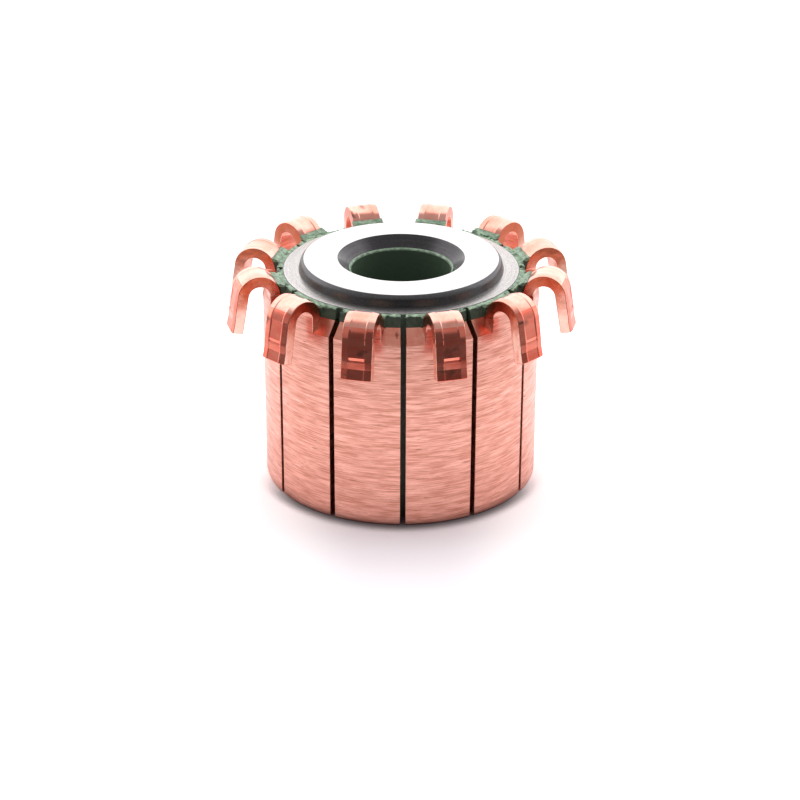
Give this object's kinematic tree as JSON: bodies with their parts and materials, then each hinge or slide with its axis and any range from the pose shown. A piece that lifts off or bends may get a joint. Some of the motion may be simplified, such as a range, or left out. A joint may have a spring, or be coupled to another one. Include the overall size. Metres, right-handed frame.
{
  "type": "commutator",
  "caption": "Hook commutator for a small motor: copper bars with bent wire hooks on a green phenolic moulding, with a steel end ring and a plain shaft bore.",
  "frame": {"origin": "centre of the barrel's foot, on the bore's axis", "axes": "+Z along the bore, from the foot towards the hooks; a slot between two bars lies on -Y"},
  "size_m": [0.028, 0.028, 0.0184],
  "materials": {
    "copper": "turned bare copper",
    "phenolic": "dark green moulding",
    "steel": "turned and polished"
  },
  "bodies": {
    "root": {"bar_01": "copper", "bar_02": "copper", "bar_03": "copper", "bar_04": "copper", "bar_05": "copper", "bar_06": "copper", "bar_07": "copper", "bar_08": "copper", "bar_09": "copper", "bar_10": "copper", "bar_11": "copper", "bar_12": "copper", "moulded_body": "phenolic", "end_ring": "steel"}
  },
  "joints": []
}
